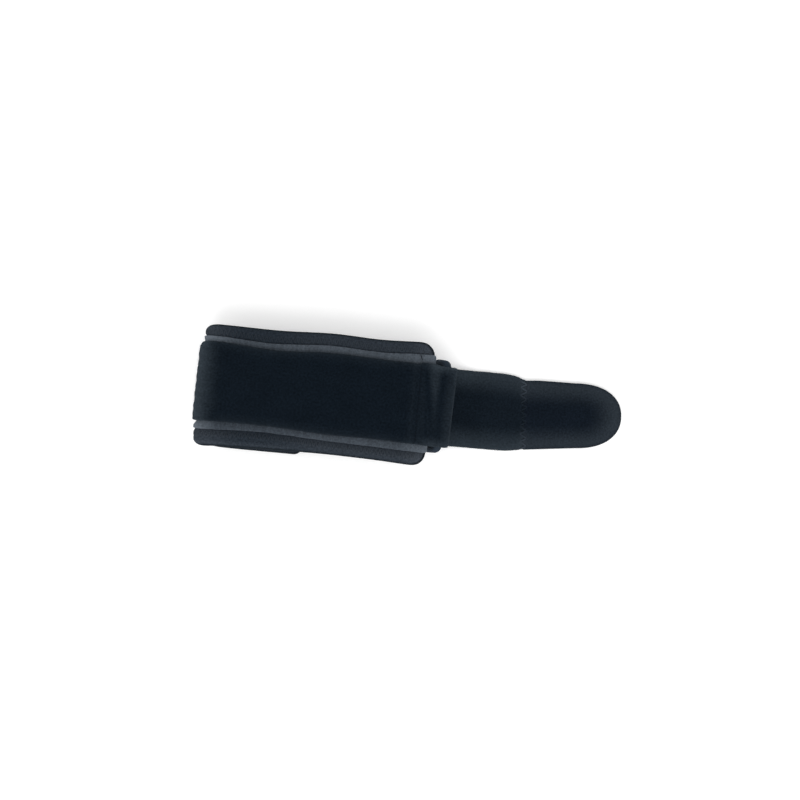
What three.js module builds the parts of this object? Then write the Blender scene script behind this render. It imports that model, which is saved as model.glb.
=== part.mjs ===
// A tennis elbow strap lying on a table as a flattened loop, with its tail drawn out through the ring.
// Millimetres, +Z up. X runs along the strap to the tip of its tail, and Y runs across it.
// The origin is on the table, under the middle of the part.
import * as THREE from "three";
import { mergeVertices } from "three/addons/utils/BufferGeometryUtils.js";

// Driving dimensions
const TOTAL_LENGTH = 235.4;
const LOOP_HEIGHT = 22.5;
const SEWN_GAP = 0.3; // between pieces that are sewn or laid face to face

const STRAP_WIDTH = 42.5;
const STRAP_THICKNESS = 2;
const GREY_THICKNESS = 0.8;
const BASE_THICKNESS = 3;

const BASE_END_OVER_X = 8.2; // the base's end beside the ring
const BASE_END_UNDER_X = -62; // its other end, under the loop
const BASE_CORNER = 6.3; // corner radius of the base's flat outline
const GREY_END_OVER_X = 8.9;
const GREY_CORNER = 1.5;

const FOLD_SKEW = 0.02; // how far the left fold slants, for each mm across the strap
const FOLD_CORNER = 3.3; // how far the base's free edges draw in at the left fold
const FLARE_UPPER = 2.2; // how far the margins beyond the strap stand out at the left fold
const FLARE_LOWER = 2.8;
const FLARE_WIDTH = 7; // distance from the strap's edge over which they do so

const CREST_X = 20.3; // where the strap turns back round the ring
const SEWN_END_LENGTH = 22; // the strap's end, sewn under the base
const SEAM_X = 1.8; // the row of stitches that holds that end

const RING_LENGTH = 49.5;
const RING_HEIGHT = 20.4;
const RING_DEPTH = 4;
const RING_CORNER = 4.5;
const RING_BAR = 3.4;
const RING_SIDE = 2.85;
const SLOT_CORNER = 1.8;
const RING_EDGE = 1.3; // rounding of the ring's edges
const RING_X = 12.7;
const RING_Y = 0.15;
const RING_LEAN = THREE.MathUtils.degToRad(15);
const RING_CLEAR = 0.15; // under the ring's lower bar

const TAB_LENGTH = 55;
const TAB_WIDTH = 38;
const TAB_TIP_WIDTH = 36; // where the straight sides end
const TAB_TIP_LENGTH = 24;
const TAB_EDGE = 0.7;
const TAB_SKEW = THREE.MathUtils.degToRad(4.2);

const EDGE_ROUND = 0.35; // share of a band's thickness that its cut edges are rounded by

const NEOPRENE_COLOUR = 0x2d343c;
const GREY_COLOUR = 0x444c55;
const PILE_COLOUR = 0x141a21;
const TAB_COLOUR = 0x171d24;
const PLASTIC_COLOUR = 0x15181b;

// Sizes that follow from those
const FOLD_RADIUS = LOOP_HEIGHT / 2 - STRAP_THICKNESS; // of the strap's inner face at the left fold
const FOLD_X = (LOOP_HEIGHT - TOTAL_LENGTH + FOLD_SKEW * STRAP_WIDTH) / 2;
const FOLD_ARC = (Math.PI / 2) * FOLD_RADIUS;
const TOP_Z = LOOP_HEIGHT - STRAP_THICKNESS; // the strap's inner face on the upper run
const GREY_OUTER = -SEWN_GAP; // layers, measured outwards from the strap's inner face
const GREY_INNER = GREY_OUTER - GREY_THICKNESS;
const BASE_OUTER = GREY_INNER - SEWN_GAP;
const BASE_INNER = BASE_OUTER - BASE_THICKNESS;
const RING_FOLD_RADIUS = (SEWN_GAP - BASE_INNER) / 2;
const RING_FOLD_X = CREST_X - STRAP_THICKNESS - RING_FOLD_RADIUS;
const TAIL_END_X = TOTAL_LENGTH / 2 - tabReach() - SEWN_GAP;

// Distance along the strap's inner face from the apex of the left fold, for a place on either run:
// positive over the loop, negative under it.
const over = (x) => FOLD_ARC + x - FOLD_X;
const under = (x) => FOLD_X - x - FOLD_ARC;
const RING_FOLD_START = over(RING_FOLD_X);
const STRAP_END = RING_FOLD_START + Math.PI * RING_FOLD_RADIUS + SEWN_END_LENGTH;

// The edges of each layer, as they wander along the loop
const BASE_EDGES = [
  { along: under(BASE_END_UNDER_X), upper: 30.4, lower: -33.4 },
  { along: under(FOLD_X), upper: 31.2, lower: -33.1 },
  { along: 0, upper: 32, lower: -32.5 },
  { along: over(FOLD_X), upper: 32.5, lower: -30.3 },
  { along: over(-74), upper: 32.5, lower: -30.2 },
  { along: over(-46), upper: 33.3, lower: -30.4 },
  { along: over(-20), upper: 32.4, lower: -31.1 },
  { along: over(BASE_END_OVER_X), upper: 32.8, lower: -32.2 },
];
const GREY_EDGES = [
  { along: under(BASE_END_UNDER_X), upper: 24.6, lower: -25.4 },
  { along: under(FOLD_X), upper: 25.9, lower: -23.9 },
  { along: over(FOLD_X), upper: 26.5, lower: -22.9 },
  { along: over(-78), upper: 25.2, lower: -22 },
  { along: over(-46), upper: 26.9, lower: -23.4 },
  { along: over(-20), upper: 25.9, lower: -24.2 },
  { along: over(GREY_END_OVER_X), upper: 27.1, lower: -25.1 },
];
const STRAP_EDGES = [
  { along: under(TAIL_END_X), upper: 19.2, lower: -19.3 },
  { along: under(50), upper: 21.5, lower: -21.2 },
  { along: under(12), upper: 21.4, lower: -21.3 },
  { along: under(BASE_END_UNDER_X), upper: 21.2, lower: -21.8 },
  { along: under(FOLD_X), upper: 22.9, lower: -19.9 },
  { along: over(FOLD_X), upper: 23.6, lower: -18.6 },
  { along: over(-74), upper: 21.7, lower: -18.6 },
  { along: over(-46), upper: 23, lower: -20 },
  { along: over(-20), upper: 22.2, lower: -20.1 },
  { along: over(12), upper: 21.4, lower: -21.2 },
  { along: STRAP_END, upper: 21.2, lower: -21.2 },
];

// How far the upper run stands off its level: a slight crown, a dent at the seam and a dip before the ring
const CROWN = [
  { x: FOLD_X, rise: 0 },
  { x: -70, rise: 0.7 },
  { x: -30, rise: 0.6 },
  { x: SEAM_X - 5, rise: 0.3 },
  { x: SEAM_X, rise: -0.4 },
  { x: SEAM_X + 4, rise: 0.15 },
  { x: BASE_END_OVER_X + 1, rise: 0.3 },
  { x: RING_X - 0.4, rise: -0.5 },
  { x: RING_X + 2, rise: 0 },
  { x: RING_FOLD_X, rise: 0 },
];
// How the lower run climbs over the ring's lower bar
const BAR_TOP = RING_CLEAR + RING_BAR + RING_DEPTH * Math.sin(RING_LEAN);
const HUMP = [
  { x: -16, rise: 0 },
  { x: RING_X - 5, rise: BAR_TOP + SEWN_GAP },
  { x: RING_X + 1, rise: BAR_TOP + SEWN_GAP },
  { x: 36, rise: 0 },
];

// Where the columns of vertices lie across a band, as shares of its width
const ACROSS_BASE = [0, 0.025, 0.06, 0.1, 0.13, 0.16, 0.19, 0.22, 0.85, 0.88, 0.91, 0.94, 0.97, 1];
const ACROSS_GREY = [0, 0.022, 0.045, 0.065, 0.085, 0.11, 0.92, 0.94, 0.96, 0.98, 1];
const ACROSS_STRAP = [0, 0.06, 0.33, 0.67, 0.94, 1];
const LAYERS = 2; // rows of faces in a band's thickness

// Stretches of the path from the tail to the sewn end, and how close the rows of vertices lie on each
const STRETCHES = [
  { until: under(HUMP[0].x), step: 4 },
  { until: -FOLD_ARC, step: 8 },
  { until: FOLD_ARC, step: 2.4 },
  { until: over(SEAM_X - 6), step: 8 },
  { until: RING_FOLD_START, step: 1.6 },
  { until: STRAP_END - SEWN_END_LENGTH, step: 1 },
  { until: STRAP_END, step: 1.6 },
];
const CORNER_STEPS = 5;

// A smooth curve through one column of a table, level at its two ends
function read(table, key, column, at) {
  const last = table.length - 1;
  if (at <= table[0][key]) return table[0][column];
  if (at >= table[last][key]) return table[last][column];
  const i = table.findIndex((row) => row[key] > at) - 1;
  const slope = (j) => {
    if (j === 0 || j === last) return 0;
    const [before, after] = [table[j - 1], table[j + 1]];
    return (after[column] - before[column]) / (after[key] - before[key]);
  };
  const span = table[i + 1][key] - table[i][key];
  const t = (at - table[i][key]) / span;
  const blend = t * t * (3 - 2 * t);
  const level = THREE.MathUtils.lerp(table[i][column], table[i + 1][column], blend);
  return level + span * t * (1 - t) * (slope(i) * (1 - t) - slope(i + 1) * t);
}

// A point of the strap's inner face in the XZ plane, at a distance along it
function pathPoint(along) {
  if (Math.abs(along) <= FOLD_ARC) {
    const turn = along / FOLD_RADIUS;
    const x = FOLD_X - FOLD_RADIUS * Math.cos(turn);
    return new THREE.Vector2(x, LOOP_HEIGHT / 2 + FOLD_RADIUS * Math.sin(turn));
  }
  if (along < 0) {
    const x = FOLD_X - FOLD_ARC - along;
    return new THREE.Vector2(x, STRAP_THICKNESS + read(HUMP, "x", "rise", x));
  }
  if (along <= RING_FOLD_START) {
    const x = FOLD_X - FOLD_ARC + along;
    return new THREE.Vector2(x, TOP_Z + read(CROWN, "x", "rise", x));
  }
  const turn = Math.min((along - RING_FOLD_START) / RING_FOLD_RADIUS, Math.PI);
  const back = along - RING_FOLD_START - turn * RING_FOLD_RADIUS;
  const x = RING_FOLD_X + RING_FOLD_RADIUS * Math.sin(turn) - back;
  const z = TOP_Z - RING_FOLD_RADIUS * (1 - Math.cos(turn));
  return new THREE.Vector2(x, z + read(CROWN, "x", "rise", x));
}

// The direction out of the loop at a distance along the strap
function outwards(along) {
  const reach = 0.05;
  const heading = pathPoint(along + reach).sub(pathPoint(along - reach)).normalize();
  return new THREE.Vector2(-heading.y, heading.x);
}

// Distances along a band for its rows of vertices, with closer rows at its rounded corners
function stations(start, end, corner) {
  const list = [];
  let from = start + corner;
  for (const { until, step } of STRETCHES) {
    const to = Math.min(until, end - corner);
    const count = Math.max(0, Math.ceil((to - from) / step));
    for (let i = 0; i < count; i += 1) list.push(THREE.MathUtils.lerp(from, to, i / count));
    from = Math.max(from, to);
  }
  list.push(from);
  if (corner === 0) return list;
  const ramp = Array.from({ length: CORNER_STEPS }, (_, i) => {
    return corner * (1 - Math.cos((Math.PI / 2) * (i / CORNER_STEPS)));
  });
  return [...ramp.map((d) => start + d), ...list, ...ramp.reverse().map((d) => end - d)];
}

// How far a quarter circle of this radius draws in, at a distance from where it starts
function drawIn(radius, distance) {
  if (distance >= radius) return 0;
  return radius - Math.sqrt(radius ** 2 - (radius - distance) ** 2);
}

// How far a margin beyond the strap's edge stands out at the left fold
function flare(y, along) {
  const above = (y - read(STRAP_EDGES, "along", "upper", along)) / FLARE_WIDTH;
  const below = (read(STRAP_EDGES, "along", "lower", along) - y) / FLARE_WIDTH;
  const { smoothstep } = THREE.MathUtils;
  return FLARE_UPPER * smoothstep(above, 0, 1) + FLARE_LOWER * smoothstep(below, 0, 1);
}

// A flat band of cloth bent along the path. It starts as a box with a row of vertices for each station.
function bentBand({ start, end, edges, across, inner, outer, corner = 0, foldCorner = 0 }) {
  const list = stations(start, end, corner);
  const rows = list.length - 1;
  const columns = across.length - 1;
  const rim = EDGE_ROUND * (outer - inner);
  const geometry = new THREE.BoxGeometry(1, 1, 1, rows, columns, LAYERS);
  const position = geometry.getAttribute("position");
  for (let i = 0; i < position.count; i += 1) {
    const row = Math.round((position.getX(i) + 0.5) * rows);
    const column = Math.round((position.getY(i) + 0.5) * columns);
    const layer = Math.round((position.getZ(i) + 0.5) * LAYERS);
    const onFace = layer === 0 || layer === LAYERS ? 1 : 0;

    const inset = drawIn(corner, Math.min(list[row] - start, end - list[row])) + onFace * rim;
    const upper = read(edges, "along", "upper", list[row]) - inset;
    const lower = read(edges, "along", "lower", list[row]) + inset;
    const y = THREE.MathUtils.lerp(lower, upper, across[column]);
    const endRim = onFace * rim * ((row === 0 ? 1 : 0) - (row === rows ? 1 : 0));
    const along = list[row] + endRim;

    const folded = Math.cos(Math.min(Math.abs(along) / FOLD_RADIUS, Math.PI / 2));
    const out = inner + (outer - inner) * (layer / LAYERS) + flare(y, along) * folded;
    const point = pathPoint(along).addScaledVector(outwards(along), out);
    const toEdge = Math.min(upper - y, y - lower);
    const pulled = drawIn(foldCorner, toEdge) + FOLD_SKEW * y;
    position.setXYZ(i, point.x + pulled * folded, y, point.y);
  }
  return closed(geometry);
}

// The geometry with its shared vertices merged, so that it is one closed surface
function closed(geometry) {
  geometry.deleteAttribute("normal");
  geometry.deleteAttribute("uv");
  const merged = mergeVertices(geometry);
  merged.computeVertexNormals();
  return merged;
}

// A rectangle with rounded corners, centred on the origin, as a Shape or as a hole's Path
function roundedRectangle(outline, width, height, radius) {
  const [x, y] = [width / 2, height / 2];
  outline.moveTo(x, radius - y);
  outline.lineTo(x, y - radius);
  outline.absarc(x - radius, y - radius, radius, 0, Math.PI / 2);
  outline.lineTo(radius - x, y);
  outline.absarc(radius - x, y - radius, radius, Math.PI / 2, Math.PI);
  outline.lineTo(-x, radius - y);
  outline.absarc(radius - x, radius - y, radius, Math.PI, Math.PI * 1.5);
  outline.lineTo(x - radius, -y);
  outline.absarc(x - radius, radius - y, radius, Math.PI * 1.5, Math.PI * 2);
  return outline;
}

// The ring's frame, lying in its own XY plane
function ringGeometry() {
  const outline = roundedRectangle(new THREE.Shape(), RING_LENGTH, RING_HEIGHT, RING_CORNER);
  const slotLength = RING_LENGTH - 2 * RING_SIDE;
  const slotHeight = RING_HEIGHT - 2 * RING_BAR;
  outline.holes.push(roundedRectangle(new THREE.Path(), slotLength, slotHeight, SLOT_CORNER));
  const geometry = new THREE.ExtrudeGeometry(outline, {
    depth: RING_DEPTH - 2 * RING_EDGE,
    bevelThickness: RING_EDGE,
    bevelSize: RING_EDGE,
    bevelOffset: -RING_EDGE,
    bevelSegments: 2,
    curveSegments: 5,
  });
  return closed(geometry.translate(0, 0, RING_EDGE - RING_DEPTH / 2));
}

// The tab's outline: straight sides that narrow a little, and an elliptical tip.
// It starts at its sewn end, which is cut askew so that it meets the strap's end squarely.
function tabOutline() {
  const straight = TAB_LENGTH - TAB_TIP_LENGTH;
  const slant = (TAB_WIDTH / 2) * Math.tan(TAB_SKEW);
  const outline = new THREE.Shape();
  outline.moveTo(-slant, -TAB_WIDTH / 2);
  outline.lineTo(straight, -TAB_TIP_WIDTH / 2);
  outline.absellipse(straight, 0, TAB_TIP_LENGTH, TAB_TIP_WIDTH / 2, -Math.PI / 2, Math.PI / 2);
  outline.lineTo(slant, TAB_WIDTH / 2);
  return outline;
}

// How far the skewed tab reaches along X from the middle of its sewn end
function tabReach() {
  const straight = TAB_LENGTH - TAB_TIP_LENGTH;
  const tip = Math.hypot(TAB_TIP_LENGTH * Math.cos(TAB_SKEW), (TAB_TIP_WIDTH / 2) * Math.sin(TAB_SKEW));
  return straight * Math.cos(TAB_SKEW) + tip;
}

function tabGeometry() {
  const geometry = new THREE.ExtrudeGeometry(tabOutline(), {
    depth: STRAP_THICKNESS - 2 * TAB_EDGE,
    bevelThickness: TAB_EDGE,
    bevelSize: TAB_EDGE,
    bevelOffset: -TAB_EDGE,
    bevelSegments: 2,
    curveSegments: 20,
  });
  return closed(geometry.translate(0, 0, TAB_EDGE));
}

function cloth(color) {
  return new THREE.MeshStandardMaterial({ color, roughness: 0.95, metalness: 0 });
}

function named(name, geometry, material) {
  const mesh = new THREE.Mesh(geometry, material);
  mesh.name = name;
  return mesh;
}

function makeBase() {
  const geometry = bentBand({
    start: under(BASE_END_UNDER_X),
    end: over(BASE_END_OVER_X),
    edges: BASE_EDGES,
    across: ACROSS_BASE,
    inner: BASE_INNER,
    outer: BASE_OUTER,
    corner: BASE_CORNER,
    foldCorner: FOLD_CORNER,
  });
  return named("base_band", geometry, cloth(NEOPRENE_COLOUR));
}

function makeGreyBand() {
  const geometry = bentBand({
    start: under(BASE_END_UNDER_X),
    end: over(GREY_END_OVER_X),
    edges: GREY_EDGES,
    across: ACROSS_GREY,
    inner: GREY_INNER,
    outer: GREY_OUTER,
    corner: GREY_CORNER,
  });
  return named("grey_band", geometry, cloth(GREY_COLOUR));
}

function makeStrap() {
  const geometry = bentBand({
    start: under(TAIL_END_X),
    end: STRAP_END,
    edges: STRAP_EDGES,
    across: ACROSS_STRAP,
    inner: 0,
    outer: STRAP_THICKNESS,
  });
  return named("strap", geometry, cloth(PILE_COLOUR));
}

// The ring stands on the table in the strap's loop, leaning a little towards the tail.
function makeRing() {
  const plastic = new THREE.MeshStandardMaterial({ color: PLASTIC_COLOUR, roughness: 0.45, metalness: 0 });
  const ring = named("ring", ringGeometry(), plastic);
  ring.rotation.set(Math.PI / 2, Math.PI / 2, 0); // stood on its long side, facing along X
  const leaning = new THREE.Group();
  leaning.rotation.y = RING_LEAN;
  const flatDepth = RING_DEPTH / 2 - RING_EDGE;
  const halfHeight = (RING_HEIGHT / 2) * Math.cos(RING_LEAN) + flatDepth * Math.sin(RING_LEAN);
  leaning.position.set(RING_X, RING_Y, RING_CLEAR + halfHeight);
  leaning.add(ring);
  return leaning;
}

// The tab butts against the end of the strap and is set a little askew to it.
function makeTab() {
  const tab = named("hook_tab", tabGeometry(), cloth(TAB_COLOUR));
  tab.rotation.z = TAB_SKEW;
  tab.position.set(TAIL_END_X + SEWN_GAP, 0, 0);
  return tab;
}

const elbowStrap = new THREE.Group();
elbowStrap.name = "tennis_elbow_strap";
elbowStrap.add(makeBase(), makeGreyBand(), makeStrap(), makeRing(), makeTab());

export default elbowStrap;
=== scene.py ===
import math

import bpy
import numpy as np
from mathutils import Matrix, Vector


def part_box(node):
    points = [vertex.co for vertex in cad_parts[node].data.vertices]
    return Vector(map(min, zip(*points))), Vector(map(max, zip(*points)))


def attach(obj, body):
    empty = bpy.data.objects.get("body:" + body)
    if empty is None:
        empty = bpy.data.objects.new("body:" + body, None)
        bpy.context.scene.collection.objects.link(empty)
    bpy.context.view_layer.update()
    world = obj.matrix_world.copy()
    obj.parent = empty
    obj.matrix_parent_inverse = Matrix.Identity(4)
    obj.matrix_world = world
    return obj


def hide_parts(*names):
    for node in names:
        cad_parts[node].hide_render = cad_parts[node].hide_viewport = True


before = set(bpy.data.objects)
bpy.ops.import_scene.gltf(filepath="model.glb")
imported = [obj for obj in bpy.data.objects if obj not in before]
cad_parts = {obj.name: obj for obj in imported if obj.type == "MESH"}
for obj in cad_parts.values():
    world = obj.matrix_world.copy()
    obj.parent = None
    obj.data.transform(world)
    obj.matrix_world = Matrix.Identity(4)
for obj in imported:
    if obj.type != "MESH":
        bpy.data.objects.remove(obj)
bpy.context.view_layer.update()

mm = 0.001   # tables and settings below are in millimetres
print("frame:", ", ".join(sorted(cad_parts)))


def addToScene(name, data):
    thing = bpy.data.objects.new(name, data)
    bpy.context.scene.collection.objects.link(thing)
    return thing


# Camera, straight down as in the photograph
shot = dict(x=-7.83, y=1.7, height=300, roll=5.3, lens=23.83, sensor=36, clipStart=10)


def makeCamera():
    data = bpy.data.cameras.new("shotCamera")
    data.sensor_width = shot["sensor"]
    data.lens = shot["lens"]
    data.clip_start = shot["clipStart"] * mm
    camera = addToScene("shotCamera", data)
    camera.location = Vector((shot["x"], shot["y"], shot["height"])) * mm
    camera.rotation_euler = (0, 0, math.radians(shot["roll"]))
    bpy.context.scene.camera = camera


makeCamera()
print("camera made")

# Sizes shared by the layers
loop = dict(
    length=235.4, height=22.5, gap=0.3, strapWidth=42.5, foldSkew=0.02, foldCorners=(2.7, 3.8),
    foldBulge=1.45, flareUpper=0.8, flareLower=1.45, flareOver=(0, 3.0), crestX=20.3, crestSkew=0.03,
    skewMiddle=-14, skewFrom=(5, 15), skewTo=(12, 2), sewnEnd=22.0, seamX=1.8, baseEndOver=8.2,
    baseEndUnder=-59.6, greyEndOver=8.9)
thick = dict(strap=2.0, grey=0.8, base=3.0)
tailCut = dict(skew=4.2, over=(-16.0, 0))
archPower, thinPower = 3, 6   # how the tail and the tab fall and thin towards their edges

ringLow, ringHigh = (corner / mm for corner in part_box("ring"))
ringCentre = (ringLow + ringHigh) / 2
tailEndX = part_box("strap")[1].x / mm

quarter = math.pi / 2
foldRadius = loop["height"] / 2 - thick["strap"]
foldX = (loop["height"] - loop["length"] + loop["foldSkew"] * loop["strapWidth"]) / 2
foldArc = quarter * foldRadius
topZ = loop["height"] - thick["strap"]

# Heights of the layers' faces from the strap's inner face, outwards up
greyOuter = -loop["gap"]
greyInner = greyOuter - thick["grey"]
baseOuter = greyInner - loop["gap"]
baseInner = baseOuter - thick["base"]

ringFoldRadius = (loop["gap"] - baseInner) / 2
ringFoldX = loop["crestX"] - thick["strap"] - ringFoldRadius


# Distance along the path, 0 at the left fold, of an x on the upper or the lower run
def over(x):
    return foldArc + x - foldX


def under(x):
    return foldX - x - foldArc


ringFoldStart = over(ringFoldX)
sewnStart = ringFoldStart + math.pi * ringFoldRadius
strapEnd = sewnStart + loop["sewnEnd"]
tailSlope = math.tan(math.radians(tailCut["skew"]))
baseStart, baseEnd = under(loop["baseEndUnder"]), over(loop["baseEndOver"])
seamS = over(loop["seamX"])

# Edges of each layer: distance along the path, upper edge, lower edge
baseEdges = [
    (baseStart, 30.4, -33.9),
    (under(foldX), 31.2, -33.7),
    (0, 32.4, -32.7),
    (over(foldX), 33.0, -31.9),
    (over(-74), 32.6, -31.0),
    (over(-46), 33.6, -30.7),
    (over(-20), 32.8, -31.3),
    (baseEnd, 33.7, -32.5),
]
greyEdges = [
    (baseStart, 24.6, -25.4),
    (under(foldX), 25.9, -23.9),
    (over(foldX), 26.5, -22.9),
    (over(-78), 25.2, -22.0),
    (over(-46), 26.9, -23.4),
    (over(-20), 25.9, -24.2),
    (over(loop["greyEndOver"]), 27.1, -25.1),
]
strapEdges = [
    (under(tailEndX), 19.6, -19.6),
    (under(58), 21.0, -20.6),
    (under(50), 21.9, -21.5),
    (under(12), 21.7, -21.6),
    (under(-62), 21.2, -21.8),
    (under(foldX), 22.9, -19.9),
    (over(foldX), 23.6, -18.6),
    (over(-74), 21.7, -18.6),
    (over(-46), 23.0, -20.0),
    (over(-20), 22.2, -20.1),
    (seamS - 0.7, 21.7, -20.8),
    (seamS + 0.6, 22.4, -20.8),
    (over(7.5), 22.4, -21.0),
    (over(12), 21.4, -21.2),
    (strapEnd, 21.2, -21.2),
]
# Rise of the upper run and of the lower run: x, rise
crown = [
    (foldX, 0.0),
    (-70, 0.7),
    (-30, 0.6),
    (loop["seamX"] - 5, 0.3),
    (loop["seamX"], -0.25),
    (loop["seamX"] + 4, 0.15),
    (9.2, 0.3),
    (12.3, -0.15),
    (14.7, 0.0),
    (ringFoldX, 0.0),
]
hump = [(-16, 0.0), (7.7, 4.885), (13.7, 4.885), (36, 0.0)]

# Painted light and shade on the upper and the lower side of a band, as shares of the lighter colour:
# all over, at the fold, how far from the fold, along the middle, at the end
rubbed = dict(
    base=[(0.045, 0.47, 24, 0.19, 0.42), (0.090, 0.38, 28, 0.27, 0.52)],
    grey=[(0.255, 0.78, 24, 0.09, 0.28), (0.060, 0.90, 14, 0.13, 0.45)],
    under=0.125, foldLeft=-116, middle=(-80, -44), end=(16, 0))


# Smooth curve through a table's rows, against its first column
def readTable(table, at, column=1):
    keys, values = np.array(table, float)[:, [0, column]].T
    slopes = np.zeros(len(keys))
    slopes[1:-1] = (values[2:] - values[:-2]) / (keys[2:] - keys[:-2])
    at = np.clip(np.asarray(at, float), keys[0], keys[-1])
    i = np.clip(np.searchsorted(keys, at, "right") - 1, 0, len(keys) - 2)
    span = keys[i + 1] - keys[i]
    t = (at - keys[i]) / span
    level = values[i] + (values[i + 1] - values[i]) * t * t * (3 - 2 * t)
    return level + span * t * (1 - t) * (slopes[i] * (1 - t) - slopes[i + 1] * t)


def edgesAt(table, s):
    return readTable(table, s, 1), readTable(table, s, 2)


# Distance to the nearer edge, 0 beyond it
def toEdges(table, s, y):
    upper, lower = edgesAt(table, s)
    return np.maximum(np.minimum(upper - y, y - lower), 0)


def smooth(t):
    t = np.clip(t, 0, 1)
    return t * t * (3 - 2 * t)


# From 0 at the first end to 1 at the second
def ramp(value, ends):
    return smooth((value - ends[0]) / (ends[1] - ends[0]))


def bell(t):
    return np.exp(-t ** 2)


def drawIn(corner, distance):
    short = np.clip(corner - distance, 0, corner)
    return corner - np.sqrt(corner * corner - short * short)


def unit(vectors):
    return vectors / np.linalg.norm(vectors, axis=1)[:, None]


def asPoints(x, y, z):
    return np.stack(np.broadcast_arrays(x, y, z), axis=-1)


waveLow = (0, 0.6, 0)   # direction, rate and shift of a wave
waveHigh = (2 * math.pi, 1.7, 2 * math.pi)
waveCount = 6


# Soft unevenness, a sum of waves; the row holds its size, its rates along and across, and its seed
def softNoise(row, s, y):
    size, rateS, rateY, seed = row
    total = 0
    for turn, rate, shift in np.random.RandomState(seed).uniform(waveLow, waveHigh, (waveCount, 3)):
        total = total + np.sin(rate * (s * rateS * math.cos(turn) + y * rateY * math.sin(turn)) + shift)
    return size * total / waveCount


def raggedEdges(table, rows, noises):
    return [edge + softNoise(row, rows, 1) for edge, row in zip(edgesAt(table, rows), noises)]


# x on the upper and on the lower run, both carried on to the left past the fold
def upperX(s):
    return s - foldArc + foldX


def lowerX(s):
    return foldX - foldArc - s


def pathPoint(s):
    runX = foldX + np.maximum(np.abs(s) - foldArc, 0)
    turn = np.clip(s / foldRadius, -quarter, quarter)
    x = runX - foldRadius * np.cos(turn)
    z = loop["height"] / 2 + foldRadius * np.sin(turn)
    ringTurn = np.clip((s - ringFoldStart) / ringFoldRadius, 0, math.pi)
    back = np.maximum(s - sewnStart, 0)
    overX = np.minimum(runX, ringFoldX) + ringFoldRadius * np.sin(ringTurn) - back
    overZ = topZ - ringFoldRadius * (1 - np.cos(ringTurn)) + readTable(crown, overX)
    underZ = thick["strap"] + readTable(hump, runX)
    x = np.where(s > foldArc, overX, x)
    z = np.where(s > foldArc, overZ, np.where(s < -foldArc, underZ, z))
    return x, z


frameStep = 0.02   # to each side, for the path's direction


def pathFrame(s):
    x, z = pathPoint(s)
    aheadX, aheadZ = pathPoint(s + frameStep)
    behindX, behindZ = pathPoint(s - frameStep)
    dx, dz = aheadX - behindX, aheadZ - behindZ
    size = np.sqrt(dx * dx + dz * dz)
    return x, z, -dz / size, dx / size


def outward(s):
    outX, outZ = pathFrame(s)[2:]
    return asPoints(outX, 0, outZ)


# 1 at the middle of the left fold, 0 on the runs
def foldShare(s):
    return np.cos(np.minimum(np.abs(s) / foldRadius, quarter))


# A point at distance s along the loop, y across it and h out from the strap's inner face
def placeOnLoop(s, y, h, toEdge=None, corners=None, flared=False):
    folded = foldShare(s)
    x, z, outX, outZ = pathFrame(s)
    pull = loop["foldSkew"] * y
    h = h + loop["foldBulge"] * folded
    atCrest = ramp(upperX(s), loop["skewFrom"]) * ramp(s - sewnStart, loop["skewTo"])
    lean = loop["crestSkew"] * (y - loop["skewMiddle"]) * atCrest
    lean = lean - tailSlope * y * ramp(lowerX(s) - tailEndX, tailCut["over"])
    if corners:
        pull = pull + drawIn(np.where(y > 0, *corners), toEdge)
    if flared:
        upper, lower = edgesAt(strapEdges, s)
        flare = loop["flareUpper"] * ramp(y - upper, loop["flareOver"])
        flare = flare + loop["flareLower"] * ramp(lower - y, loop["flareOver"])
        h = h + flare * folded
    return asPoints(x + outX * h + pull * folded + lean, y, z + outZ * h)


# Painted light over a band: share of the lighter cloth colour per side, a flat share on the lower run
def bandNap(s, y, band):
    x = upperX(s)
    inMiddle, atEnd = ramp(x, rubbed["middle"]), ramp(loop["greyEndOver"] - x, rubbed["end"])
    sides = [plain + fold * ramp(x - rubbed["foldLeft"], (reach, 0)) + middle * inMiddle + end * atEnd
             for plain, fold, reach, middle, end in rubbed[band]]
    return np.where(s > -foldArc / 2, np.where(y > 0, *sides), rubbed["under"])


def newPiece(name, points, faces, material, slot, place, **marks):
    mesh = bpy.data.meshes.new(name)
    mesh.from_pydata((np.reshape(points, (-1, 3)) * mm).tolist(), [], faces)
    mesh.polygons.foreach_set("use_smooth", np.ones(len(mesh.polygons), bool))
    mesh.attributes.new("place", "FLOAT_VECTOR", "POINT").data.foreach_set("vector", np.ravel(place))
    for label, values in marks.items():
        mesh.attributes.new(label, "FLOAT", "POINT").data.foreach_set("value", np.ravel(values))
    mesh.materials.append(material)
    mesh.validate()
    piece = addToScene(name, mesh)
    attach(piece, "root")
    print(name, "made:", len(mesh.polygons), "faces")
    return piece


# Quads over rows of points that close round, and over the rows too where these join up
def tubeFaces(rowCount, ringCount, joined=False):
    i = np.arange(rowCount if joined else rowCount - 1)[:, None]
    r = np.arange(ringCount)[None, :]
    nextRow, nextSpot = (i + 1) % rowCount, (r + 1) % ringCount
    quads = np.stack([i * ringCount + r, nextRow * ringCount + r,
                      nextRow * ringCount + nextSpot, i * ringCount + nextSpot], axis=-1)
    return quads.reshape(-1, 4).tolist()


# How a band is thinner at its ends, and how its rim and its cut edge are marked
rims = dict(
    endShares=np.array([0, 0.06, 0.16, 0.3, 0.47, 0.66, 0.85]), endClear=0.95, endThin=0.3, nearEdge=0.5,
    cutStart=1.25, cutEnd=0.55, cutEndOver=(10, 0))


# Rows along a band: even steps, finer ones for the round at each cut end, and the extra ones
def bandRows(start, end, band, extra, decimals=4):
    even = np.linspace(start, end, int((end - start) / band["step"]) + 1)
    near = band["endRound"] * rims["endShares"]
    clear = band["endRound"] * rims["endClear"]
    keep = even[(even > start + clear) & (even < end - clear)]
    return np.unique(np.round(np.concatenate([start + near, keep, end - near, *extra]), decimals))


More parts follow.
